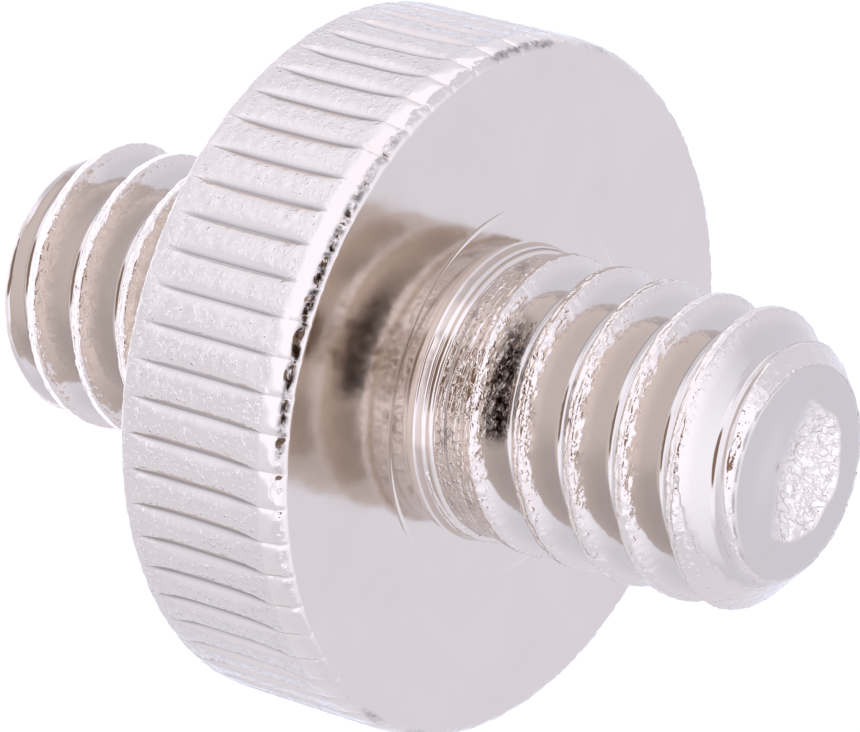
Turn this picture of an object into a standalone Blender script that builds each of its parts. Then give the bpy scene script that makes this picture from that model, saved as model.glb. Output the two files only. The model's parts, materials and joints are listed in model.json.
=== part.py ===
"""Thread adapter screw: one turned and plated piece with a stud on each side of a knurled flange.

The part stands on the end of its back stud. The axis is +Z, the front stud points up, and the
origin is at the centre of the back stud's end. Lengths are in metres.
"""
import math

import bmesh
import bpy
from mathutils import Matrix, Vector

MM = 0.001

# Flange, the knurled disc that the fingers turn
FLANGE_RADIUS = 7.5 * MM
FLANGE_THICKNESS = 4.2 * MM
FRONT_EDGE_RADIUS = 0.28 * MM
BACK_EDGE_RADIUS = 0.2 * MM

# Straight knurl: V-shaped flutes whose ends run out before the flange's edges
KNURL_COUNT = 60
KNURL_WIDTH = 0.45 * MM
KNURL_DEPTH = 0.15 * MM
KNURL_FRONT_MARGIN = 0.5 * MM
KNURL_BACK_MARGIN = 0.15 * MM
KNURL_TURN = math.radians(4.4)

# Screw thread, the same on both studs: 1/4 inch, 20 turns to the inch, right-handed
THREAD_RADIUS = 3.14 * MM
THREAD_PITCH = 1.27 * MM
THREAD_FLANK_ANGLE = math.radians(30)
CREST_FLAT = 0.2 * MM
ROOT_FLAT = 0.2 * MM
RUNOUT_DEPTH = 0.12 * MM
# The groove deepens between these turns, in radians from the side that faces -Y
RUNOUT_START = -1.5 * math.pi
RUNOUT_END = -0.75 * math.pi

# Studs, measured from the flange's faces, and the height of each one's first crest there
FRONT_STUD_LENGTH = 7.35 * MM
BACK_STUD_LENGTH = 7.95 * MM
FRONT_FIRST_CREST = 1.25 * MM
BACK_FIRST_CREST = 1.32 * MM
END_FACE_RADIUS = 2.22 * MM
DIMPLE_RADIUS = 1.55 * MM
DIMPLE_DEPTH = 0.9 * MM

# Plain collar at the foot of each stud
COLLAR_RADIUS = 3.2 * MM
COLLAR_HEIGHT = 0.41 * MM

# Facets around the axis
FLANGE_FACETS = KNURL_COUNT
STUD_FACETS = 36
ARC_FACETS = 3

SHARP_EDGE = math.radians(35)

MERGE = 0.00001
CUT_OVERLAP = 0.1 * MM
# Turns of thread that a rod has inside the flange and past its stud's end, and that are cut away
HIDDEN_TURNS = 2
SPARE_TURNS = 1
# The thread's start is counted from the side that faces -Y
THREAD_START = -math.pi / 2

BACK_FACE = BACK_STUD_LENGTH
FRONT_FACE = BACK_FACE + FLANGE_THICKNESS
TOP = FRONT_FACE + FRONT_STUD_LENGTH
MID_FLANGE = (BACK_FACE + FRONT_FACE) / 2
THREAD_DEPTH = (THREAD_PITCH - CREST_FLAT - ROOT_FLAT) / 2 / math.tan(THREAD_FLANK_ANGLE)

NICKEL = (0.78, 0.74, 0.70, 1.0)


def clear_scene():
    """Remove what a new Blender file holds."""
    for found in list(bpy.data.objects):
        bpy.data.objects.remove(found, do_unlink=True)


def make_collection(name):
    collection = bpy.data.collections.new(name)
    bpy.context.scene.collection.children.link(collection)
    return collection


def nickel_plate():
    """Bright nickel plating over a turned blank."""
    material = bpy.data.materials.new("nickel_plate")
    material.use_nodes = True
    shader = material.node_tree.nodes["Principled BSDF"]
    shader.inputs["Base Color"].default_value = NICKEL
    shader.inputs["Metallic"].default_value = 1.0
    shader.inputs["Roughness"].default_value = 0.25
    return material


def add_object(name, mesh, collection, guide=False):
    made = bpy.data.objects.new(name, mesh)
    collection.objects.link(made)
    if guide:
        made.hide_render = True
        made.display_type = "WIRE"
    return made


def arc(centre_r, centre_z, radius, first, last):
    """Points of a quarter round in the outline's plane, as (radius, height) pairs."""
    points = []
    for i in range(ARC_FACETS + 1):
        angle = first + (last - first) * i / ARC_FACETS
        points.append((centre_r + radius * math.cos(angle), centre_z + radius * math.sin(angle)))
    return points


def turned(name, outline, facets, collection, guide=False):
    """Turn an outline of (radius, height) pairs, listed from top to bottom, about Z."""
    mesh = bpy.data.meshes.new(name)
    points = [(r, 0, z) for r, z in outline]
    edges = [(i, i + 1) for i in range(len(points) - 1)]
    mesh.from_pydata(points, edges, [])
    made = add_object(name, mesh, collection, guide)
    screw = made.modifiers.new("turn", "SCREW")
    screw.axis = "Z"
    screw.angle = 2 * math.pi
    screw.steps = facets
    screw.render_steps = facets
    screw.use_merge_vertices = True
    screw.merge_threshold = MERGE
    weld = made.modifiers.new("close_axis", "WELD")
    weld.merge_threshold = MERGE
    return made


def boolean(target, tool, operation):
    modifier = target.modifiers.new(tool.name, "BOOLEAN")
    modifier.operation = operation
    modifier.solver = "EXACT"
    modifier.object = tool


def flange_outline():
    """The disc with its rounded rim, and a collar at the foot of each stud."""
    front_round = arc(FLANGE_RADIUS - FRONT_EDGE_RADIUS, FRONT_FACE - FRONT_EDGE_RADIUS,
                      FRONT_EDGE_RADIUS, math.pi / 2, 0)
    back_round = arc(FLANGE_RADIUS - BACK_EDGE_RADIUS, BACK_FACE + BACK_EDGE_RADIUS,
                     BACK_EDGE_RADIUS, 0, -math.pi / 2)
    front_collar = [(0, FRONT_FACE + COLLAR_HEIGHT), (COLLAR_RADIUS, FRONT_FACE + COLLAR_HEIGHT),
                    (COLLAR_RADIUS, FRONT_FACE)]
    back_collar = [(COLLAR_RADIUS, BACK_FACE), (COLLAR_RADIUS, BACK_FACE - COLLAR_HEIGHT),
                   (0, BACK_FACE - COLLAR_HEIGHT)]
    return front_collar + front_round + back_round + back_collar


def stud_outline(side):
    """The stud's envelope: a chamfered end with the dimple that rolling leaves in it."""
    end = TOP if side > 0 else 0.0
    wide = THREAD_RADIUS + CUT_OVERLAP
    outline = [
        (0, end - side * DIMPLE_DEPTH),
        (DIMPLE_RADIUS, end),
        (END_FACE_RADIUS, end),
        (wide, end - side * (wide - END_FACE_RADIUS)),
        (wide, MID_FLANGE + side * CUT_OVERLAP),
        (0, MID_FLANGE + side * CUT_OVERLAP),
    ]
    return outline if side > 0 else outline[::-1]


def groove_depth(turn):
    """Depth of the thread groove at a turn, in radians away from the flange on the near side.

    The groove has its full depth beyond the first crest, and runs out behind it to a shallow band.
    """
    share = (turn - RUNOUT_START) / (RUNOUT_END - RUNOUT_START)
    return RUNOUT_DEPTH + (THREAD_DEPTH - RUNOUT_DEPTH) * min(max(share, 0.0), 1.0)


def pitch_section(turn):
    """One crest and the groove after it, as (radius, height from the crest's middle) pairs."""
    depth = groove_depth(turn)
    flank = depth * math.tan(THREAD_FLANK_ANGLE)
    root = THREAD_RADIUS - depth
    return [
        (THREAD_RADIUS, -CREST_FLAT / 2),
        (THREAD_RADIUS, CREST_FLAT / 2),
        (root, CREST_FLAT / 2 + flank),
        (root, THREAD_PITCH - CREST_FLAT / 2 - flank),
    ]


def threaded_rod(name, side, face, first_crest, length, collection):
    """Loft the thread's section along its helix, from inside the flange to past the stud's end.

    Each column of points is the section at one angle around the axis. A column that has gone full
    circle meets the first one a pitch higher, and a fan to the axis closes each end.
    """
    half_pitch = THREAD_PITCH / 2
    first_pitch = -HIDDEN_TURNS
    last_pitch = math.ceil((length - first_crest) / THREAD_PITCH) + SPARE_TURNS
    bm = bmesh.new()
    columns = []
    for i in range(STUD_FACETS):
        around = 2 * math.pi * i / STUD_FACETS
        angle = THREAD_START + side * around
        column = []
        for pitch in range(first_pitch, last_pitch):
            turn = around + 2 * math.pi * pitch
            crest = first_crest + THREAD_PITCH * turn / (2 * math.pi)
            for r, z in pitch_section(turn):
                place = (r * math.cos(angle), r * math.sin(angle), face + side * (crest + z))
                column.append(bm.verts.new(place))
        columns.append(column)
    columns.append(columns[0][len(pitch_section(0)):])
    for near, far in zip(columns, columns[1:]):
        for i in range(min(len(near), len(far)) - 1):
            bm.faces.new((near[i], near[i + 1], far[i + 1], far[i]))
    open_edges = [edge for edge in bm.edges if edge.is_boundary]
    first_height = face + side * (first_crest + THREAD_PITCH * first_pitch - half_pitch)
    last_height = face + side * (first_crest + THREAD_PITCH * last_pitch + half_pitch)
    near_end = bm.verts.new((0, 0, first_height))
    far_end = bm.verts.new((0, 0, last_height))
    for edge in open_edges:
        height = edge.verts[0].co.z
        is_near = abs(height - first_height) < abs(height - last_height)
        bm.faces.new((edge.verts[0], edge.verts[1], near_end if is_near else far_end))
    bmesh.ops.recalc_face_normals(bm, faces=bm.faces)
    mesh = bpy.data.meshes.new(name)
    bm.to_mesh(mesh)
    bm.free()
    return add_object(name, mesh, collection, guide=True)


def knurl_cutter(collection):
    """One boat-shaped flute, repeated around the rim.

    The boat is a four-sided sphere stretched along the axis, sunk into the rim by the flute's depth.
    """
    reach = KNURL_DEPTH + CUT_OVERLAP
    beam = KNURL_WIDTH / 2 * reach / KNURL_DEPTH
    low = BACK_FACE + KNURL_BACK_MARGIN
    high = FRONT_FACE - KNURL_FRONT_MARGIN
    tip_share = math.sqrt(1 - (CUT_OVERLAP / reach) ** 2)
    half_length = (high - low) / 2 / tip_share
    bm = bmesh.new()
    for i in range(KNURL_COUNT):
        turn = THREAD_START + KNURL_TURN + 2 * math.pi * i / KNURL_COUNT
        place = (Matrix.Rotation(turn, 4, "Z")
                 @ Matrix.Translation(Vector((FLANGE_RADIUS + CUT_OVERLAP, 0, (low + high) / 2)))
                 @ Matrix.Diagonal((reach, beam, half_length, 1)))
        bmesh.ops.create_uvsphere(bm, u_segments=4, v_segments=6, radius=1, matrix=place)
    mesh = bpy.data.meshes.new("knurl_flutes")
    bm.to_mesh(mesh)
    bm.free()
    return add_object("knurl_flutes", mesh, collection, guide=True)


def add_stud(adapter, name, side, face, first_crest, length, guides):
    """Trim a threaded rod to the stud's chamfered form and join it to the flange."""
    rod = threaded_rod(name, side, face, first_crest, length, guides)
    envelope = turned(name + "_envelope", stud_outline(side), FLANGE_FACETS, guides, guide=True)
    boolean(rod, envelope, "INTERSECT")
    boolean(adapter, rod, "UNION")


def main():
    clear_scene()
    parts = make_collection("thread_adapter_screw")
    guides = make_collection("guides")
    adapter = turned("thread_adapter", flange_outline(), FLANGE_FACETS, parts)
    adapter.data.materials.append(nickel_plate())
    boolean(adapter, knurl_cutter(guides), "DIFFERENCE")
    add_stud(adapter, "front_stud", 1, FRONT_FACE, FRONT_FIRST_CREST, FRONT_STUD_LENGTH, guides)
    add_stud(adapter, "back_stud", -1, BACK_FACE, BACK_FIRST_CREST, BACK_STUD_LENGTH, guides)
    adapter.data.shade_smooth()
    adapter.data.set_sharp_from_angle(angle=SHARP_EDGE)


main()
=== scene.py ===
"""Looks of the thread adapter screw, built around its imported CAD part.

The adapter stands on its back stud with its axis on +Z. Angles around the axis are counted from the
side that faces -Y, which the camera looks at, and they grow towards +X. Lengths are in metres.
"""
import json
import math

import bmesh
import bpy
from bpy.props import FloatProperty, FloatVectorProperty, IntProperty, PointerProperty
from mathutils import Matrix, Vector, noise


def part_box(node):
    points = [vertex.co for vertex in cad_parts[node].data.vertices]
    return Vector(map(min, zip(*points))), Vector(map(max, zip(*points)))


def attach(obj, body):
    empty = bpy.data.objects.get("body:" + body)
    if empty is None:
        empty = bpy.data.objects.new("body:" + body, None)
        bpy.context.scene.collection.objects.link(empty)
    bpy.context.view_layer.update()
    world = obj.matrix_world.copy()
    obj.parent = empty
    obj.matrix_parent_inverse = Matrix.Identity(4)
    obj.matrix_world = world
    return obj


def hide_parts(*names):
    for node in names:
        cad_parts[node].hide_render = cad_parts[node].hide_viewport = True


bl_info = {
    "name": "Thread Adapter Looks",
    "version": (1, 0, 0),
    "blender": (4, 5, 0),
    "location": "3D View > Sidebar > Adapter",
    "description": "Builds the visible surface of a plated thread adapter screw and its studio",
    "category": "Object",
}

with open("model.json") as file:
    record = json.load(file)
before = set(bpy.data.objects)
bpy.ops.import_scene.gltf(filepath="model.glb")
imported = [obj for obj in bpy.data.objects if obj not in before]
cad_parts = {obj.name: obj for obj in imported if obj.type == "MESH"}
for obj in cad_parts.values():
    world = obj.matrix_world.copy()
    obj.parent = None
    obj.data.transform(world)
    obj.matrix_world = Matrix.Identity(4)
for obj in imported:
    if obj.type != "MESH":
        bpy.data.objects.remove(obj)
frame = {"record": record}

MM = 0.001
FULL_TURN = 2 * math.pi

# The frame gives the seats that the flange's two faces make, and the part's box
SEATS = {mount["name"]: mount["pos_m"] for mount in frame["record"]["mounts"]}
FRONT_FACE = SEATS["front_seat"][2]
BACK_FACE = SEATS["back_seat"][2]
LOW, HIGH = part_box("thread_adapter")
FLANGE_MIDDLE = Vector((0, 0, (FRONT_FACE + BACK_FACE) / 2))

# The material that all three pieces share
PLATE = "bright_nickel_plate"

# Columns of the rim's mesh from one flute to the next, and from a flute's middle to its edge
FLUTE_COLUMNS = 14
FLUTE_HALF = 4
# Rows of that mesh between the rim's two rounded edges
RIM_ROWS = 52
# Columns of a stud's mesh in one turn, which is made of equal sectors
STUD_COLUMNS = 336
STUD_SECTORS = 12
# Rows of that mesh on each half of a crest, on a flank and on a root
CREST_ROWS = 8
FLANK_ROWS = 6
ROOT_ROWS = 3
# How far the fine rows of a crest reach down each flank, for its round corners
CREST_SHOULDER = 0.08 * MM
# Rings of mesh on a stud's end, and how deep a stud's rod reaches into the flange
END_RINGS = 44
STUD_SINK = 1.0 * MM
# Points nearer to each other than this are one point
WELD = 0.0005 * MM


def linear_colour(hex_colour):
    """The linear colour of an sRGB hex value."""
    channels = [int(hex_colour[i:i + 2], 16) / 255 for i in (1, 3, 5)]
    return [c / 12.92 if c <= 0.04045 else ((c + 0.055) / 1.055) ** 2.4 for c in channels]


def length_property(name, description, default_mm):
    return FloatProperty(name=name, description=description, default=default_mm * MM, min=0,
                         unit="LENGTH", precision=5)


def colour_property(name, description, hex_colour):
    return FloatVectorProperty(name=name, description=description, subtype="COLOR", size=3,
                               default=linear_colour(hex_colour), min=0, max=1)


class AdapterSizes(bpy.types.PropertyGroup):
    """Sizes of the knurl, the thread and the marks that turning and rolling leave."""

    front_edge: length_property("Front edge", "Width of the rim's rounded front edge", 0.28)
    front_edge_reach: length_property("Edge reach", "How far that edge reaches down the rim", 0.5)
    back_edge: length_property("Back edge", "Radius of the rim's back edge", 0.12)
    flute_count: IntProperty(name="Flutes", description="Flutes around the rim", default=60, min=12)
    flute_width: length_property("Flute width", "Width of a flute at the rim's surface", 0.45)
    flute_depth: length_property("Flute depth", "Depth of a flute at its middle", 0.13)
    flute_front_gap: length_property("Front gap", "Plain rim in front of the flutes", 0.5)
    flute_back_gap: length_property("Back gap", "Plain rim behind the flutes", 0.22)
    tip_depth: length_property("Tip depth", "Depth of the dent in front of a flute", 0.03)
    nick_depth: length_property("Nick depth", "Depth of the nick from a flute to the edge", 0.035)
    knurl_turn: FloatProperty(name="Knurl turn", description="Angle of the first flute",
                              default=math.radians(4.4), unit="ROTATION")
    grit_height: length_property("Grit", "Height of the grit between the flutes", 0.016)
    dent_height: length_property("Dents", "Height of the dents along the front edge", 0.032)
    scribe_radius: length_property("Scribed circle", "Radius of the fine circle on the face", 3.97)
    collar_radius: length_property("Collar", "Outer radius of the beads round a stud's foot", 3.2)
    collar_height: length_property("Collar height", "Height of the beads above the face", 0.41)
    thread_radius: length_property("Thread radius", "Radius over the thread's crests", 3.14)
    thread_pitch: length_property("Thread pitch", "Height that one turn of the thread climbs", 1.27)
    crest_flat: length_property("Crest", "Width of the flat on a crest", 0.2)
    root_flat: length_property("Root", "Width of the flat in a groove", 0.2)
    seam_depth: length_property("Seam", "Depth of the seam that rolling leaves in a crest", 0.018)
    burr_height: length_property("Burr", "Height of the burrs along a crest", 0.016)
    front_crest: length_property("Front crest", "First crest's height above the front face", 1.25)
    back_crest: length_property("Back crest", "First crest's height behind the back face", 1.32)
    runout_depth: length_property("Run-out", "Depth of the band behind the first crest", 0.12)
    end_radius: length_property("End face", "Radius of a stud's flat end", 2.22)
    crater_radius: length_property("Crater", "Radius of the hollow that rolling leaves", 1.5)
    crater_depth: length_property("Crater depth", "Depth of that hollow", 0.27)
    crater_shift: length_property("Crater shift", "How far its bottom is off the axis", 0.3)


class AdapterColours(bpy.types.PropertyGroup):
    """Colours of the plating with its painted shade and highlights, the floor and the light."""

    nickel: colour_property("Nickel", "Bright nickel plate", "#DACFC4")
    nickel_shade: colour_property("Nickel shade", "Thinner plate, a little browner", "#D3C6BA")
    # Painted shade for the grooves and the studs' ends, and a duller tone for the rim's lands
    painted_shade_and_land_nickel: colour_property("Groove", "Thin, dull plate down in the grooves", "#CBC1B7")
    # Painted shade for the sharp bottom of a flute
    crease_shade_nickel: colour_property("Corner", "Dull metal in the sharp bottom of a flute", "#8E8784")
    # A painted highlight for the tops of the crater's folds
    fold_highlight_nickel: colour_property("Folds", "Pale plate on the crater's folds", "#EADFD3")
    # Bare metal in spots, and painted shade and painted reflection on the side facing the camera
    bare_metal_and_painted_dark: colour_property("Bare metal", "Scorched metal that no plate covers", "#382E29")
    floor: colour_property("Floor", "Pale studio floor", "#F4F4F4")
    studio: colour_property("Studio", "Cool light of the studio's walls", "#E2E7FB")
    camera_side: colour_property("Camera side", "What stands round the camera", "#75655D")


def angle_of(place):
    """Angle around the axis, from the side that faces -Y towards +X."""
    return math.atan2(place.x, -place.y)


def put(vert, radius, angle, height):
    vert.co = (radius * math.sin(angle), -radius * math.cos(angle), height)


def cosine(degrees):
    return math.cos(math.radians(degrees))


def clamp(share):
    return min(max(share, 0.0), 1.0)


def smooth_step(low, high, value):
    """0 below low, 1 above high and a smooth rise between them. With high below low it falls."""
    share = clamp((value - low) / (high - low))
    return share * share * (3 - 2 * share)


def rough(place, grain, seed=0.0):
    """Smooth noise from -1 to 1 whose lumps are about one grain wide."""
    return noise.noise(place / grain + Vector((seed, 0, 0)))


def turned(outline, columns, sectors, climb=0.0):
    """Turn an outline of (radius, height) pairs about Z, and climb as far along Z in a full turn.

    One sector is spun from the outline and the others are spun as its copies, because that is ten
    times as fast as spinning the outline all the way. A negative climb turns the other way, so
    that a thread is right-handed on either side.
    """
    bm = bmesh.new()
    points = [bm.verts.new((0, -radius, height)) for radius, height in outline]
    lines = [bm.edges.new(pair) for pair in zip(points, points[1:])]
    angle = math.copysign(FULL_TURN, climb)
    bmesh.ops.spin(bm, geom=points + lines, cent=(0, 0, 0), axis=(0, 0, 1), angle=angle / sectors,
                   dvec=(0, 0, climb / columns), steps=columns // sectors)
    sector = list(bm.verts) + list(bm.edges) + list(bm.faces)
    copies = sectors - 1
    bmesh.ops.spin(bm, geom=sector, cent=(0, 0, 0), axis=(0, 0, 1), angle=angle * copies / sectors,
                   dvec=(0, 0, climb / sectors), steps=copies, use_duplicate=True)
    bmesh.ops.remove_doubles(bm, verts=bm.verts, dist=WELD)
    return bm


def arc(centre_radius, centre_height, radius, first, last, parts, tall=1.0):
    """Points of an arc in the outline's plane, between two angles in degrees above outwards."""
    points = []
    for i in range(parts + 1):
        angle = math.radians(first + (last - first) * i / parts)
        points.append((centre_radius + radius * math.cos(angle),
                       centre_height + tall * radius * math.sin(angle)))
    return points


def vertex_layers(bm, *names):
    """One number a vertex for each name, which the plate's material reads as an attribute."""
    return [bm.verts.layers.float.new(name) for name in names]


def finish_piece(bm, name):
    """Turn a closed bmesh into a plated piece that stands for the CAD part."""
    bmesh.ops.recalc_face_normals(bm, faces=bm.faces)
    for face in bm.faces:
        face.smooth = True
    mesh = bpy.data.meshes.new(name)
    bm.to_mesh(mesh)
    bm.free()
    colours = bpy.context.scene.adapter_colours
    mesh.materials.append(bpy.data.materials.get(PLATE) or nickel_plate(colours))
    piece = bpy.data.objects.new(name, mesh)
    bpy.context.scene.collection.objects.link(piece)
    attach(piece, "root")
    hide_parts("thread_adapter")


def collar_beads(sizes):
    """Two low rings, one round the other, from the stud down to the face: (radius, height) pairs."""
    outer = sizes.collar_radius
    top = sizes.collar_height
    # Each point is so many millimetres inside the outer radius, at a share of the height
    points = ((0.24, 1.0), (0.15, 0.97), (0.12, 0.9), (0.09, 0.66), (0.11, 0.6), (0.07, 0.55),
              (0.05, 0.48), (0.045, 0.4), (0.015, 0.12), (0.0, 0.0))
    return [(0, top)] + [(outer - inset * MM, top * share) for inset, share in points]


def flange_outline(sizes):
    """Front face, front edge, rim, back edge and back face, with beads round each stud's foot.

    A row of mesh stands close beside each sharp edge, so that the flat faces are shaded flat.
    """
    rim = HIGH.x
    beads = collar_beads(sizes)
    foot = beads[-1][0]
    beside = 0.03 * MM
    front = [(radius, FRONT_FACE + height) for radius, height in beads]
    # The scribed circle is a groove a little over half as deep as its half width
    scribe = sizes.scribe_radius
    groove = 0.045 * MM
    front += [(radius, FRONT_FACE) for radius in (foot + beside, scribe - groove - beside)]
    front += [(scribe - groove, FRONT_FACE), (scribe, FRONT_FACE - 0.6 * groove)]
    front += [(scribe + groove, FRONT_FACE), (scribe + groove + beside, FRONT_FACE)]
    front += [(scribe + (rim - scribe) * share, FRONT_FACE) for share in (0.3, 0.6)]
    edge = sizes.front_edge
    front += [(rim - edge - beside, FRONT_FACE)]
    high = FRONT_FACE - sizes.front_edge_reach
    front_round = arc(rim - edge, high, edge, 90, 0, 14, sizes.front_edge_reach / edge)
    back = sizes.back_edge
    low = BACK_FACE + back
    back_round = arc(rim - back, low, back, 0, -90, 5)
    side = [(rim, high + (low - high) * i / RIM_ROWS) for i in range(1, RIM_ROWS)]
    behind = [(radius, BACK_FACE) for radius in (rim - back - beside, foot + beside)]
    behind += [(radius, BACK_FACE - height) for radius, height in reversed(beads)]
    return front + front_round + side + back_round + behind


def flute_half_width(sizes, flute, height):
    """Half the width of one flute at a height. Both ends taper, and no two taper alike."""
    seed = Vector((flute * 3.1, 0.5, 0.5))
    front_end = FRONT_FACE - sizes.flute_front_gap + 0.06 * MM * noise.noise(seed)
    back_end = BACK_FACE + sizes.flute_back_gap + 0.05 * MM * noise.noise(seed + Vector((0, 9, 0)))
    share = (2 * height - front_end - back_end) / (front_end - back_end)
    if abs(share) >= 1:
        return 0.0
    fullness = 1 - abs(share) ** 3.5
    wander = 1 + 0.08 * noise.noise(Vector((flute * 1.7, height / MM, 2.5)))
    return sizes.flute_width / 2 * fullness * wander


def flute_cut(sizes, across, flute_half):
    """Depth of a flute at a distance from its middle: a V that is steepest at the bottom."""
    if across >= flute_half:
        return 0.0
    share = 1 - across / flute_half
    fullness = 2 * flute_half / sizes.flute_width
    return sizes.flute_depth * fullness * (0.7 * share + 0.3 * share ** 2)


def tip_cut(sizes, across, height):
    """Depth of the round dent and the narrow nick that the knurling wheel leaves before a flute."""
    radius = 0.2 * MM
    reach = (height - FRONT_FACE + sizes.flute_front_gap - 0.8 * radius) / radius
    dent = sizes.tip_depth * clamp(1.3 - 1.3 * (reach ** 2 + (across / radius) ** 2))
    start = FRONT_FACE - sizes.flute_front_gap
    nick = sizes.nick_depth * clamp(1 - across / (0.08 * MM))
    return dent + nick * smooth_step(start - 0.2 * MM, start + 0.1 * MM, height)


def column_place(sizes, column, height, on_rim):
    """Where a column of the rim's mesh stands at a height.

    Returns its angle, its distance along the rim from the middle of its flute, and half the width
    of that flute. The columns crowd into the flutes on the rim, and are even away from it.
    """
    rim = HIGH.x
    flute_pitch = FULL_TURN / sizes.flute_count
    plain_half = flute_pitch * rim * FLUTE_HALF / FLUTE_COLUMNS
    flute = (column + FLUTE_COLUMNS // 2) // FLUTE_COLUMNS
    step = column - flute * FLUTE_COLUMNS
    flute %= sizes.flute_count
    flute_half = flute_half_width(sizes, flute, height) if on_rim > 0 else 0.0
    reach = smooth_step(FRONT_FACE, FRONT_FACE - sizes.flute_front_gap, height)
    reach *= smooth_step(BACK_FACE, BACK_FACE + sizes.flute_back_gap, height)
    half = max(flute_half, plain_half + (0.06 * MM - plain_half) * reach * on_rim)
    if abs(step) <= FLUTE_HALF:
        across = half * (abs(step) / FLUTE_HALF) ** (1 + 0.25 * on_rim)
    else:
        land = flute_pitch * rim / 2 - half
        across = half + land * (abs(step) - FLUTE_HALF) / (FLUTE_COLUMNS / 2 - FLUTE_HALF)
    angle = sizes.knurl_turn + flute * flute_pitch + math.copysign(across, step) / rim
    return angle, across, flute_half


def shape_rim(bm, sizes):
    """Cut the flutes into the rim, roughen the lands between them and dent the front edge."""
    grit, satin, lay, deep, corner, bare = vertex_layers(
        bm, "grit", "satin", "lay", "deep", "corner", "bare")
    columns = sizes.flute_count * FLUTE_COLUMNS
    rim = HIGH.x
    for vert in bm.verts:
        radius = vert.co.xy.length
        height = vert.co.z
        vert[lay] = radius
        vert[satin] = 1.0
        if radius < WELD:
            continue
        on_rim = smooth_step(rim - 0.3 * MM, rim - 0.2 * MM, radius)
        column = round(angle_of(vert.co) / FULL_TURN * columns) % columns
        angle, across, flute_half = column_place(sizes, column, height, on_rim)
        place = Vector((radius * math.sin(angle), -radius * math.cos(angle), height))
        depth = flute_cut(sizes, across, flute_half) + on_rim * tip_cut(sizes, across, height)

        # Coarse lumps on the lands, and soft ones on the plain block in front of the flutes
        on_block = smooth_step(FRONT_FACE - 0.6 * MM, FRONT_FACE - 0.5 * MM, height)
        on_land = smooth_step(-0.1 * MM, 0.02 * MM, across - flute_half)
        coarse = on_rim * (0.1 + 0.9 * on_land) * (1 - on_block)
        lumps = rough(place, 0.2 * MM) + 0.6 * rough(place, 0.1 * MM, 7.0)
        soft = on_rim * on_block * rough(place, 0.3 * MM, 5.0)

        # Dents along a strip of the front edge, from 0.06 to 0.13 mm below the face
        under = FRONT_FACE - height
        on_edge = smooth_step(0.22 * MM, 0.13 * MM, under)
        on_edge *= smooth_step(0.0, 0.06 * MM, under) * on_rim
        dents = rough(place, 0.26 * MM, 3.0) + 0.6 * rough(place, 0.12 * MM, 4.0)
        relief = sizes.grit_height * coarse * lumps
        relief += sizes.dent_height * (on_edge * dents + 0.3 * soft)

        # That strip is painted dark on the side towards the camera, between two angles in radians,
        # as a painted reflection of the camera's side, and shows bare metal in spots elsewhere
        turned_away = (angle + math.pi) % FULL_TURN - math.pi
        painted_camera_reflection = smooth_step(-0.65, -0.3, turned_away) * smooth_step(0.45, 0.2, turned_away)
        scraped = clamp(3 * rough(place, 0.9 * MM, 16.0) - 0.4)
        vert[bare] = on_edge * max(painted_camera_reflection, 0.6 * scraped)

        # Painted shade along the sharp bottom of each flute
        in_flute = smooth_step(0.0, 0.4, flute_half / sizes.flute_width)
        vert[corner] = in_flute * clamp(1.0 - across / (0.055 * MM))
        vert[grit] = max(0.7 * coarse, 0.3 * on_edge)
        # A duller tone, mostly on the gritty lands
        vert[deep] = 0.6 * coarse
        vert[satin] = 1 - on_rim
        if height > FRONT_FACE + WELD or height < BACK_FACE - WELD:
            # The beads round a stud's foot are a little uneven
            relief += 0.008 * MM * rough(place, 0.35 * MM, 14.0)
        put(vert, radius - depth + relief, angle, height)


def thread_groove(sizes, away):
    """Depth of the full groove at a distance from a crest's middle. The crest's corners are round."""
    slope = math.tan(math.radians(30))
    corner = 0.025 * MM
    full = (sizes.thread_pitch - sizes.crest_flat - sizes.root_flat) / 2 / slope
    straight = (away - sizes.crest_flat / 2) / slope
    return min((straight + math.hypot(straight, corner)) / 2, full)


def runout_depth(sizes, turn):
    """Depth that the groove may have at a turn, in radians away from the first crest."""
    start = -1.5 * math.pi
    end = -0.75 * math.pi
    return sizes.runout_depth + 0.8 * MM * clamp((turn - start) / (end - start))


def thread_steps(sizes):
    """Distances along one pitch, from a crest's middle, at which the rod's mesh has its rows."""
    pitch = sizes.thread_pitch
    crest = sizes.crest_flat / 2 + CREST_SHOULDER
    root = sizes.root_flat / 2
    parts = ((crest, CREST_ROWS), (pitch / 2 - root, FLANK_ROWS), (pitch / 2 + root, ROOT_ROWS),
             (pitch - crest, FLANK_ROWS), (pitch, CREST_ROWS))
    steps = []
    start = 0.0
    for stop, rows in parts:
        steps += [start + (stop - start) * i / rows for i in range(rows)]
        start = stop
    return steps


def rolled_rod(sizes, side, face, first_crest, length):
    """Spin the thread's profile up its helix. The rod is longer than the stud at both ends."""
    pitch = sizes.thread_pitch
    profile = []
    for turn in range(-3, math.ceil((length - first_crest) / pitch + 1)):
        for step in thread_steps(sizes):
            radius = sizes.thread_radius - thread_groove(sizes, min(step, pitch - step))
            profile.append((radius, face + side * (first_crest + pitch * turn + step)))
    return turned(profile, STUD_COLUMNS, STUD_SECTORS, side * pitch)


def place_on_thread(sizes, side, face, first_crest, place):
    """A place's height above the face, its distance from the nearest crest, and its turn.

    The turn grows in radians along the groove that the place lies in, from 0 where the groove
    passes the first crest at the side that faces -Y.
    """
    pitch = sizes.thread_pitch
    along = side * (place.z - face)
    around = (side * angle_of(place)) % FULL_TURN
    offset = along - first_crest - pitch * around / FULL_TURN
    crest = round(offset / pitch)
    away = offset - crest * pitch
    turn = around + FULL_TURN * (crest if away > 0 else crest - 1)
    return along, away, turn


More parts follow.
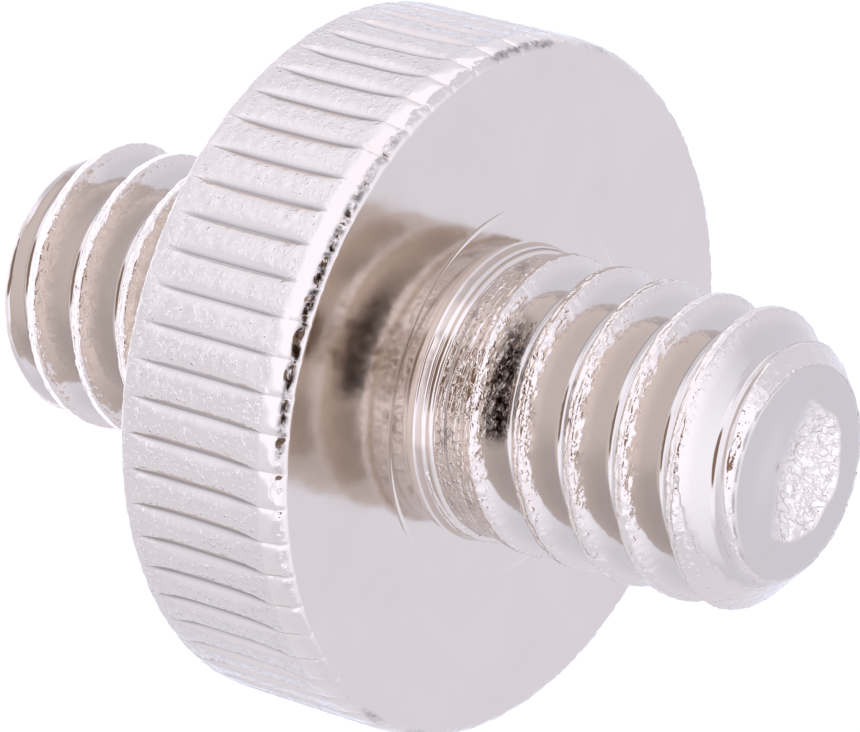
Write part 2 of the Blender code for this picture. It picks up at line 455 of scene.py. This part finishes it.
def shape_thread(bm, sizes, side, face, first_crest, length):
    """Run the thread out at the flange, chamfer it at the end and burr its crests.

    The satin layer stays empty here, because the thread is bright, and shape_crater fills it.
    """
    grit, _, lay, deep, bare = vertex_layers(bm, "grit", "satin", "lay", "deep", "bare")
    for vert in bm.verts:
        place = vert.co.copy()
        along, away, turn = place_on_thread(sizes, side, face, first_crest, place)

        # The crests' corners are ragged, and a wandering seam and burrs run along each crest
        near_crest = smooth_step(0.26 * MM, 0.12 * MM, abs(away))
        ragged = 0.022 * MM * near_crest * rough(place, 0.12 * MM, 5.0)
        groove = thread_groove(sizes, max(abs(away) + ragged, 0))
        on_crest = smooth_step(0.22 * MM, 0.14 * MM, abs(away))
        wander = 0.05 * MM * rough(place, 0.35 * MM, 2.0)
        seam = math.exp(-((away - wander) / (0.03 * MM)) ** 2)
        seam *= clamp(0.5 + 1.2 * rough(place, 0.3 * MM, 8.0)) * sizes.seam_depth
        burr = rough(place, 0.22 * MM, 11.0) + 0.7 * rough(place, 0.1 * MM, 12.0)

        # The band behind the first crest is wrinkled, and so is a stretch of the first groove,
        # which also gets painted shade in patches
        allowed = runout_depth(sizes, turn)
        on_band = smooth_step(0.0, 0.03 * MM, groove - allowed)
        on_band *= smooth_step(0.5 * MM, 0.2 * MM, allowed)
        patchy_dark = smooth_step(-0.75, -0.35, turn) * smooth_step(0.5, 0.3, turn)
        patchy_dark *= smooth_step(0.16 * MM, 0.36 * MM, abs(away))
        patchy_dark *= smooth_step(0.56 * MM, 0.44 * MM, away)
        stretched = Vector((place.x, place.y, 3 * place.z))
        wrinkle = 0.02 * MM * rough(stretched, 0.4 * MM, 4.0)
        wrinkle += 0.012 * MM * rough(place, 0.16 * MM, 6.0)

        relief = on_crest * (sizes.burr_height * burr - seam) + max(on_band, patchy_dark) * wrinkle
        relief += 0.003 * MM * rough(place, 0.3 * MM, 15.0)
        radius = sizes.thread_radius - min(groove, allowed) + relief
        # The chamfer at the end is a wrinkled cone of 45 degrees
        cone = sizes.end_radius + max(length - along, 0) + wrinkle
        on_cone = smooth_step(0.0, 0.05 * MM, radius - cone)
        vert[grit] = max(0.5 * on_crest, on_band, 0.6 * patchy_dark, 0.3 * on_cone)
        # Painted shade that grows with the groove's depth, and none on the chamfer
        vert[deep] = smooth_step(0.12 * MM, 0.4 * MM, min(groove, allowed)) * (1 - on_cone)
        # Painted shade in patches over that stretch, and bare metal in spots on the band
        vert[bare] = patchy_dark + 0.4 * on_band * clamp(3 * rough(place, 0.5 * MM, 13.0) - 0.9)
        vert[lay] = along if on_cone > 0.5 else away
        put(vert, min(radius, cone), angle_of(place), place.z)


def cut_off(bm, height, direction):
    """Cut away what lies beyond a level plane, in one direction along Z."""
    geometry = list(bm.verts) + list(bm.edges) + list(bm.faces)
    bmesh.ops.bisect_plane(bm, geom=geometry, plane_co=(0, 0, height), plane_no=(0, 0, direction),
                           dist=WELD, clear_outer=True)


def trim_and_cap(bm, sizes, side, face, length):
    """Cut the rod square inside the flange and at its end, and close both. Returns the end's height."""
    end = face + side * length
    inside = face - side * STUD_SINK
    cut_off(bm, inside, -side)
    open_edges = [edge for edge in bm.edges if edge.is_boundary]
    low_edges = [edge for edge in open_edges if abs(edge.verts[0].co.z - inside) < 10 * WELD]
    bmesh.ops.holes_fill(bm, edges=low_edges, sides=0)
    cut_off(bm, end, side)
    ring = [edge for edge in bm.edges if edge.is_boundary]
    for i in range(1, END_RINGS):
        made = bmesh.ops.extrude_edge_only(bm, edges=ring)["geom"]
        ring = [item for item in made if isinstance(item, bmesh.types.BMEdge) and item.is_boundary]
        for vert in {vert for edge in ring for vert in edge.verts}:
            put(vert, sizes.end_radius * (1 - i / END_RINGS), angle_of(vert.co), end)
    bmesh.ops.holes_fill(bm, edges=ring, sides=0)
    return end


def shape_crater(bm, sizes, side, end):
    """Round the end's edge, and sink a crater into the end, as rolling does.

    Its bottom is off the axis. Its wall is straight and smooth on the near side, which faces the
    camera's side of the part, and curved and folded on the far side.
    """
    crumple = bm.verts.layers.float.new("crumple")
    grit, satin, deep = (bm.verts.layers.float[name] for name in ("grit", "satin", "deep"))
    bottom = Vector((0, -sizes.crater_shift, 0))
    edge = 0.07 * MM
    for vert in bm.verts:
        radius = vert.co.xy.length
        if abs(vert.co.z - end) > WELD or radius > sizes.end_radius + edge:
            continue
        angle = angle_of(vert.co)
        flat = Vector((vert.co.x, vert.co.y, 0))

        # The crater's outline is a wavy circle, and share is 0 on it and 1 at the bottom
        waves = noise.noise(Vector((math.sin(angle) * 2.2, math.cos(angle) * 2.2, 1.3)))
        wide = sizes.crater_radius * (1 + 0.08 * waves)
        away = flat - bottom
        outwards = away.normalized()
        along = bottom.dot(outwards)
        reach = math.sqrt(along ** 2 + wide ** 2 - bottom.length_squared) - along
        share = 1 - away.length / reach

        far_side = smooth_step(-0.5 * MM, 0.2 * MM, flat.y)
        lip = 0.03 + 0.2 * (1 - far_side)
        straight = (share + math.hypot(share, lip)) / 2
        curved = math.sin(clamp(share) * math.pi / 2)
        fall = sizes.crater_depth * (straight + (curved - straight) * far_side)
        folded = far_side * smooth_step(0.0, 0.04, share)
        across = Vector((flat.x * 2.2, flat.y, 0))
        folds = rough(across, 0.45 * MM, 8.0) + 0.5 * rough(flat, 0.2 * MM, 9.0)
        fall += 0.035 * MM * folded * (1 + folds)
        on_edge = clamp((radius - sizes.end_radius + edge) / edge)
        fall += 0.04 * MM * on_edge
        vert[crumple] = folded
        vert[grit] = 0.2 * on_edge
        # Painted shade over the end face and its crater, except on the folds
        vert[deep] = 1 - folded
        vert[satin] = 1 - folded
        vert.co.z = end - side * max(fall, 0)


def add_node(tree, kind, settings=None, values=None, links=None):
    """Add a node, set its own settings and its sockets' values, and link outputs into it."""
    made = tree.nodes.new(kind)
    for name, value in (settings or {}).items():
        setattr(made, name, value)
    for socket, value in (values or {}).items():
        made.inputs[socket].default_value = value
    for socket, output in (links or {}).items():
        tree.links.new(output, made.inputs[socket])
    return made


def new_material(name):
    """An empty material and its node tree."""
    material = bpy.data.materials.new(name)
    material.use_nodes = True
    material.node_tree.nodes.clear()
    return material, material.node_tree


def rgba(colour):
    return (*colour, 1.0)


def nickel_plate(colours):
    """Bright nickel electroplated over a turned and rolled blank.

    The plate mirrors the studio in a warm grey. It is clear on the thread's flanks, a little satin
    on the turned face, and sparkles where grit or a burr breaks its surface into facets.
    """
    material, tree = new_material(PLATE)
    place = add_node(tree, "ShaderNodeTexCoord").outputs["Object"]
    layers = ("grit", "satin", "lay", "crumple", "deep", "corner", "bare")
    grit, satin, lay, crumple, deep, corner, bare = (
        add_node(tree, "ShaderNodeAttribute", {"attribute_name": layer}).outputs["Fac"]
        for layer in layers)

    # Single grains of grit, 0.11 mm apart, that stand out of a smoother ground
    grains = add_node(tree, "ShaderNodeTexNoise", values={"Scale": 1 / (0.11 * MM), "Detail": 1.0},
                      links={"Vector": place})
    facets = add_node(tree, "ShaderNodeMapRange",
                      values={"From Min": 0.53, "From Max": 0.75, "To Max": 0.65},
                      links={"Value": grains.outputs["Fac"]})
    # Streaks 0.08 mm apart and 0.6 mm long that follow the thread, as the dies leave them
    across = add_node(tree, "ShaderNodeCombineXYZ", links={"X": lay})
    slow = add_node(tree, "ShaderNodeVectorMath", {"operation": "SCALE"},
                    {"Scale": 1 / (0.6 * MM)}, {0: place})
    streak_place = add_node(tree, "ShaderNodeVectorMath", {"operation": "MULTIPLY_ADD"},
                            {1: (1 / (0.08 * MM),) * 3},
                            {0: across.outputs["Vector"], 2: slow.outputs["Vector"]})
    streaks = add_node(tree, "ShaderNodeTexNoise", values={"Scale": 1.0, "Detail": 1.0},
                       links={"Vector": streak_place.outputs["Vector"]})
    # Noise averages a half, which is taken off so that the border of the grit is no step
    centred = add_node(tree, "ShaderNodeMath", {"operation": "SUBTRACT"}, {1: 0.5},
                       {0: streaks.outputs["Fac"]})
    both = add_node(tree, "ShaderNodeMath", {"operation": "ADD"},
                    links={0: facets.outputs["Result"], 1: centred.outputs[0]})
    gritty = add_node(tree, "ShaderNodeMath", {"operation": "MULTIPLY"},
                      links={0: both.outputs[0], 1: grit})
    # Folds 0.16 mm wide and twice as long on the crater's far wall, flat on top with a painted
    # highlight, and sharp creases with painted shade where the noise passes through its middle
    fold_place = add_node(tree, "ShaderNodeVectorMath", {"operation": "MULTIPLY"},
                          {1: (1 / (0.16 * MM), 1 / (0.34 * MM), 1 / (0.16 * MM))}, {0: place})
    folds = add_node(tree, "ShaderNodeTexNoise", values={"Scale": 1.0, "Detail": 2.0},
                     links={"Vector": fold_place.outputs["Vector"]})
    even = add_node(tree, "ShaderNodeMath", {"operation": "SUBTRACT"}, {1: 0.5},
                    {0: folds.outputs["Fac"]})
    ridges = add_node(tree, "ShaderNodeMath", {"operation": "ABSOLUTE"}, links={0: even.outputs[0]})
    creases = add_node(tree, "ShaderNodeMath", {"operation": "MINIMUM"}, {1: 0.1},
                       {0: ridges.outputs[0]})
    folded = add_node(tree, "ShaderNodeMath", {"operation": "MULTIPLY"},
                      links={0: creases.outputs[0], 1: crumple})
    fold_highlight_share = add_node(tree, "ShaderNodeMath", {"operation": "MULTIPLY"}, {1: 10.0},
                          {0: folded.outputs[0]})
    # Both reliefs share one bump, whose height of 1 is 0.04 mm
    relief = add_node(tree, "ShaderNodeMath", {"operation": "MULTIPLY_ADD"}, {1: 3.4},
                      {0: folded.outputs[0], 2: gritty.outputs[0]})
    broken = add_node(tree, "ShaderNodeBump", values={"Strength": 1.0, "Distance": 0.04 * MM},
                      links={"Height": relief.outputs[0]})
    # Soft waves of the plate, 0.5 mm long
    waves = add_node(tree, "ShaderNodeTexNoise", values={"Scale": 1 / (0.5 * MM), "Detail": 1.0},
                     links={"Vector": place})
    wavy = add_node(tree, "ShaderNodeBump", values={"Strength": 0.3, "Distance": 0.01 * MM},
                    links={"Height": waves.outputs["Fac"], "Normal": broken.outputs["Normal"]})

    # The plate's tint drifts over 1.6 mm, and painted shade and highlights change it below
    cloud = add_node(tree, "ShaderNodeTexNoise", values={"Scale": 1 / (1.6 * MM), "Detail": 3.0},
                     links={"Vector": place})
    colour = add_node(tree, "ShaderNodeMix", {"data_type": "RGBA"},
                      {"A": rgba(colours.nickel), "B": rgba(colours.nickel_shade)},
                      {"Factor": cloud.outputs["Fac"]})
    # Painted shade in the grooves and on the studs' ends, and a duller tone on the rim's lands
    with_painted_shade = add_node(tree, "ShaderNodeMix", {"data_type": "RGBA"},
                         {"B": rgba(colours.painted_shade_and_land_nickel)},
                         {"Factor": deep, "A": colour.outputs["Result"]})
    # Painted shade along the sharp bottom of each flute
    with_crease_shade = add_node(tree, "ShaderNodeMix", {"data_type": "RGBA"},
                         {"B": rgba(colours.crease_shade_nickel)},
                         {"Factor": corner, "A": with_painted_shade.outputs["Result"]})
    # A painted highlight on the folds' tops, with painted shade left in their creases
    with_fold_highlights = add_node(tree, "ShaderNodeMix", {"data_type": "RGBA"},
                        {"B": rgba(colours.fold_highlight_nickel)},
                        {"Factor": fold_highlight_share.outputs[0], "A": with_crease_shade.outputs["Result"]})
    # Bare metal in patches 0.15 mm wide; the same dark is painted shade in the first groove
    # and a painted reflection of the camera's side on the front edge
    patches = add_node(tree, "ShaderNodeTexNoise", values={"Scale": 1 / (0.15 * MM), "Detail": 3.0},
                       links={"Vector": place})
    patchy_dark = add_node(tree, "ShaderNodeMapRange", values={"From Min": 0.3, "From Max": 0.6},
                    links={"Value": patches.outputs["Fac"]})
    patchy_dark_share = add_node(tree, "ShaderNodeMath", {"operation": "MULTIPLY"},
                          links={0: patchy_dark.outputs["Result"], 1: bare})
    plate = add_node(tree, "ShaderNodeMix", {"data_type": "RGBA"}, {"B": rgba(colours.bare_metal_and_painted_dark)},
                     {"Factor": patchy_dark_share.outputs[0], "A": with_fold_highlights.outputs["Result"]})
    # Nearly a mirror, a little duller on the turned faces and where the tint is browner
    gloss = add_node(tree, "ShaderNodeMath", {"operation": "MULTIPLY_ADD"}, {1: 0.02, 2: 0.055},
                     {0: satin})
    dulled = add_node(tree, "ShaderNodeMath", {"operation": "MULTIPLY_ADD"}, {1: 0.08},
                      {0: cloud.outputs["Fac"], 2: gloss.outputs[0]})
    shader = add_node(tree, "ShaderNodeBsdfPrincipled", values={"Metallic": 1.0},
                      links={"Base Color": plate.outputs["Result"],
                             "Roughness": dulled.outputs[0], "Normal": wavy.outputs["Normal"]})
    add_node(tree, "ShaderNodeOutputMaterial", links={"Surface": shader.outputs["BSDF"]})
    return material


class ADAPTER_OT_flange(bpy.types.Operator):
    """Build the knurled flange with its faces and the beads round each stud's foot"""

    bl_idname = "adapter.flange"
    bl_label = "Knurled Flange"

    def execute(self, context):
        sizes = context.scene.adapter_sizes
        bm = turned(flange_outline(sizes), sizes.flute_count * FLUTE_COLUMNS, sizes.flute_count)
        shape_rim(bm, sizes)
        finish_piece(bm, "knurled_flange")
        return {"FINISHED"}


class ADAPTER_OT_studs(bpy.types.Operator):
    """Build the threaded stud on each side of the flange"""

    bl_idname = "adapter.studs"
    bl_label = "Threaded Studs"

    def execute(self, context):
        sizes = context.scene.adapter_sizes
        # Name, direction along Z, face that it stands on, first crest and length
        studs = (
            ("front_stud", 1, FRONT_FACE, sizes.front_crest, HIGH.z - FRONT_FACE),
            ("back_stud", -1, BACK_FACE, sizes.back_crest, BACK_FACE - LOW.z),
        )
        for name, side, face, first_crest, length in studs:
            bm = rolled_rod(sizes, side, face, first_crest, length)
            shape_thread(bm, sizes, side, face, first_crest, length)
            end = trim_and_cap(bm, sizes, side, face, length)
            shape_crater(bm, sizes, side, end)
            finish_piece(bm, name)
        return {"FINISHED"}


# The camera, as fitting the part's circles and crests to the photograph gives it
CAMERA_LENS_MM = 240.57
CAMERA_SENSOR_MM = 36.0
CAMERA_DISTANCE = 120.85 * MM
CAMERA_ELEVATION = math.radians(35.363)
# How far the stud's axis points below the picture's horizontal
CAMERA_ROLL = math.radians(15.5225)
CAMERA_AIM_RIGHT = 0.0223 * MM
CAMERA_AIM_UP = 0.0793 * MM


def toward_camera():
    return Vector((0, -math.cos(CAMERA_ELEVATION), math.sin(CAMERA_ELEVATION)))


def add_camera():
    """A long lens that looks at the flange from above its -Y side, rolled so the axis lies down."""
    back = toward_camera()
    axis_up = Vector((0, math.sin(CAMERA_ELEVATION), math.cos(CAMERA_ELEVATION)))
    sideways = Vector((1, 0, 0))
    right = axis_up * math.cos(CAMERA_ROLL) - sideways * math.sin(CAMERA_ROLL)
    up = -axis_up * math.sin(CAMERA_ROLL) - sideways * math.cos(CAMERA_ROLL)
    camera = bpy.data.objects.new("camera", bpy.data.cameras.new("camera"))
    camera.data.lens = CAMERA_LENS_MM
    camera.data.sensor_width = CAMERA_SENSOR_MM
    camera.data.clip_start = 1 * MM
    camera.data.clip_end = 100.0
    turn = Matrix((right, up, back)).transposed()
    place = FLANGE_MIDDLE + back * CAMERA_DISTANCE + right * CAMERA_AIM_RIGHT + up * CAMERA_AIM_UP
    camera.matrix_world = Matrix.LocRotScale(place, turn, None)
    bpy.context.scene.collection.objects.link(camera)
    bpy.context.scene.camera = camera


def add_softbox(name, place, aim, size, watts):
    lamp = bpy.data.lights.new(name, "AREA")
    lamp.shape = "DISK"
    lamp.size = size
    lamp.energy = watts
    made = bpy.data.objects.new(name, lamp)
    made.location = place
    # Metal shows the studio's soft light in its place, without the edge of a disc
    made.visible_glossy = False
    made.rotation_mode = "QUATERNION"
    made.rotation_quaternion = (Vector(aim) - Vector(place)).to_track_quat("-Z", "Y")
    bpy.context.scene.collection.objects.link(made)


def show_white(tree):
    """Light Path, and 1 for camera and transmission rays, which see a plain white background."""
    path = add_node(tree, "ShaderNodeLightPath")
    return path, add_node(tree, "ShaderNodeMath", {"operation": "MAXIMUM"},
                          links={0: path.outputs["Is Camera Ray"],
                                 1: path.outputs["Is Transmission Ray"]}).outputs[0]


def light_studio(colours):
    """Even soft light, brighter overhead and round the camera. Metal also mirrors the camera's side,
    which is darker and browner.
    """
    world = bpy.data.worlds.new("studio")
    bpy.context.scene.world = world
    world.use_nodes = True
    tree = world.node_tree
    tree.nodes.clear()
    direction = add_node(tree, "ShaderNodeTexCoord").outputs["Generated"]
    facing = add_node(tree, "ShaderNodeVectorMath", {"operation": "DOT_PRODUCT"},
                      {1: toward_camera()}, {0: direction}).outputs["Value"]
    height = add_node(tree, "ShaderNodeSeparateXYZ", links={"Vector": direction}).outputs["Z"]
    # The flange's face mirrors the walls, and a white crest or edge mirrors the bright parts,
    # which are the ring round the camera and what is overhead
    walls = 1.31
    bright = 2.0
    beside = add_node(tree, "ShaderNodeMapRange",
                      values={"From Min": cosine(60), "From Max": cosine(45), "To Min": walls,
                              "To Max": bright}, links={"Value": facing})
    above = add_node(tree, "ShaderNodeMapRange",
                     values={"From Min": cosine(50), "From Max": 1.0, "To Min": walls,
                             "To Max": bright}, links={"Value": height})
    level = add_node(tree, "ShaderNodeMath", {"operation": "MAXIMUM"},
                     links={0: beside.outputs["Result"], 1: above.outputs["Result"]})
    # The camera's side reaches 21 degrees round the camera, and is gone at 26
    camera_share = add_node(tree, "ShaderNodeMapRange",
                            values={"From Min": cosine(26), "From Max": cosine(21)},
                            links={"Value": facing})
    colour = add_node(tree, "ShaderNodeMix", {"data_type": "RGBA"},
                      {"A": rgba(colours.studio), "B": rgba(colours.camera_side)},
                      {"Factor": camera_share.outputs["Result"]})
    in_metal = add_node(tree, "ShaderNodeBackground",
                        links={"Color": colour.outputs["Result"], "Strength": level.outputs[0]})
    # The matt floor gets a plain neutral light, so that it keeps a soft grey shadow
    on_floor = add_node(tree, "ShaderNodeBackground",
                        values={"Color": (1, 1, 1, 1), "Strength": 0.25})
    path, white = show_white(tree)
    light = add_node(tree, "ShaderNodeMixShader",
                     links={0: path.outputs["Is Diffuse Ray"], 1: in_metal.outputs[0],
                            2: on_floor.outputs[0]})
    plain = add_node(tree, "ShaderNodeBackground", values={"Color": (1, 1, 1, 1)})
    shown = add_node(tree, "ShaderNodeMixShader",
                     links={0: white, 1: light.outputs[0], 2: plain.outputs[0]})
    add_node(tree, "ShaderNodeOutputWorld", links={"Surface": shown.outputs[0]})


def studio_floor(colours):
    """Matt white laminate. Metal sees a painted glow on it in the studio's colour, brighter towards the
    camera.
    """
    material, tree = new_material("studio_floor")
    path, white = show_white(tree)
    diffuse = add_node(tree, "ShaderNodeBsdfDiffuse", values={"Color": rgba(colours.floor)})
    glow_strength = add_node(tree, "ShaderNodeMath", {"operation": "MULTIPLY"}, {1: 0.67}, {0: white})
    glow = add_node(tree, "ShaderNodeEmission", links={"Strength": glow_strength.outputs[0]})
    lit = add_node(tree, "ShaderNodeAddShader",
                   links={0: diffuse.outputs["BSDF"], 1: glow.outputs["Emission"]})
    place = add_node(tree, "ShaderNodeTexCoord").outputs["Object"]
    # How far a place is towards the back right, where metal sees the least painted glow
    toward = add_node(tree, "ShaderNodeVectorMath", {"operation": "DOT_PRODUCT"},
                      {1: (0.7, 1.0, 0.0)}, {0: place}).outputs["Value"]
    near = add_node(tree, "ShaderNodeMapRange",
                    values={"From Min": 20 * MM, "From Max": -15 * MM, "To Min": 1.55,
                            "To Max": 1.72}, links={"Value": toward})
    far = add_node(tree, "ShaderNodeMapRange",
                   values={"From Min": -15 * MM, "From Max": -32 * MM, "To Min": 0.0,
                           "To Max": 0.6}, links={"Value": toward})
    # The floor right under the adapter gets the most painted glow
    away = add_node(tree, "ShaderNodeVectorMath", {"operation": "LENGTH"}, links={0: place})
    under = add_node(tree, "ShaderNodeMapRange",
                     values={"From Min": 14 * MM, "From Max": 6 * MM, "To Max": 0.9},
                     links={"Value": away.outputs["Value"]})
    both = add_node(tree, "ShaderNodeMath", {"operation": "ADD"},
                    links={0: near.outputs["Result"], 1: far.outputs["Result"]})
    level = add_node(tree, "ShaderNodeMath", {"operation": "ADD"},
                     links={0: both.outputs[0], 1: under.outputs["Result"]})
    painted_floor_glow = add_node(tree, "ShaderNodeEmission", values={"Color": rgba(colours.studio)},
                    links={"Strength": level.outputs[0]})
    share = add_node(tree, "ShaderNodeMath", {"operation": "MULTIPLY"}, {1: 0.8},
                     {0: path.outputs["Is Glossy Ray"]})
    surface = add_node(tree, "ShaderNodeMixShader",
                       links={0: share.outputs[0], 1: lit.outputs["Shader"],
                              2: painted_floor_glow.outputs["Emission"]})
    add_node(tree, "ShaderNodeOutputMaterial", links={"Surface": surface.outputs["Shader"]})
    return material


class ADAPTER_OT_stage(bpy.types.Operator):
    """Set up the floor, the soft light and the camera"""

    bl_idname = "adapter.stage"
    bl_label = "Studio"

    def execute(self, context):
        colours = context.scene.adapter_colours
        bm = bmesh.new()
        bmesh.ops.create_grid(bm, x_segments=1, y_segments=1, size=0.6)
        mesh = bpy.data.meshes.new("floor")
        bm.to_mesh(mesh)
        bm.free()
        mesh.materials.append(studio_floor(colours))
        floor = bpy.data.objects.new("floor", mesh)
        context.scene.collection.objects.link(floor)
        light_studio(colours)
        add_softbox("overhead_softbox", place=(0, -0.05, 0.4), aim=FLANGE_MIDDLE, size=0.34,
                    watts=0.25)
        add_camera()
        context.scene.view_settings.view_transform = "Standard"
        return {"FINISHED"}


class ADAPTER_PT_panel(bpy.types.Panel):
    """Lists the steps that build the adapter's looks"""

    bl_idname = "ADAPTER_PT_panel"
    bl_label = "Thread Adapter"
    bl_space_type = "VIEW_3D"
    bl_region_type = "UI"
    bl_category = "Adapter"

    def draw(self, context):
        for operator in (ADAPTER_OT_flange, ADAPTER_OT_studs, ADAPTER_OT_stage):
            self.layout.operator(operator.bl_idname)
        for group in (context.scene.adapter_sizes, context.scene.adapter_colours):
            column = self.layout.column()
            for name in group.bl_rna.properties.keys():
                if name not in ("rna_type", "name"):
                    column.prop(group, name)


CLASSES = (AdapterSizes, AdapterColours, ADAPTER_OT_flange, ADAPTER_OT_studs, ADAPTER_OT_stage,
           ADAPTER_PT_panel)


def register():
    for item in CLASSES:
        bpy.utils.register_class(item)
    bpy.types.Scene.adapter_sizes = PointerProperty(type=AdapterSizes)
    bpy.types.Scene.adapter_colours = PointerProperty(type=AdapterColours)


def unregister():
    del bpy.types.Scene.adapter_sizes
    del bpy.types.Scene.adapter_colours
    for item in reversed(CLASSES):
        bpy.utils.unregister_class(item)


def main():
    register()
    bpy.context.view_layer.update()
    bpy.ops.adapter.flange()
    bpy.ops.adapter.studs()
    bpy.ops.adapter.stage()


if __name__ == "__main__":
    main()
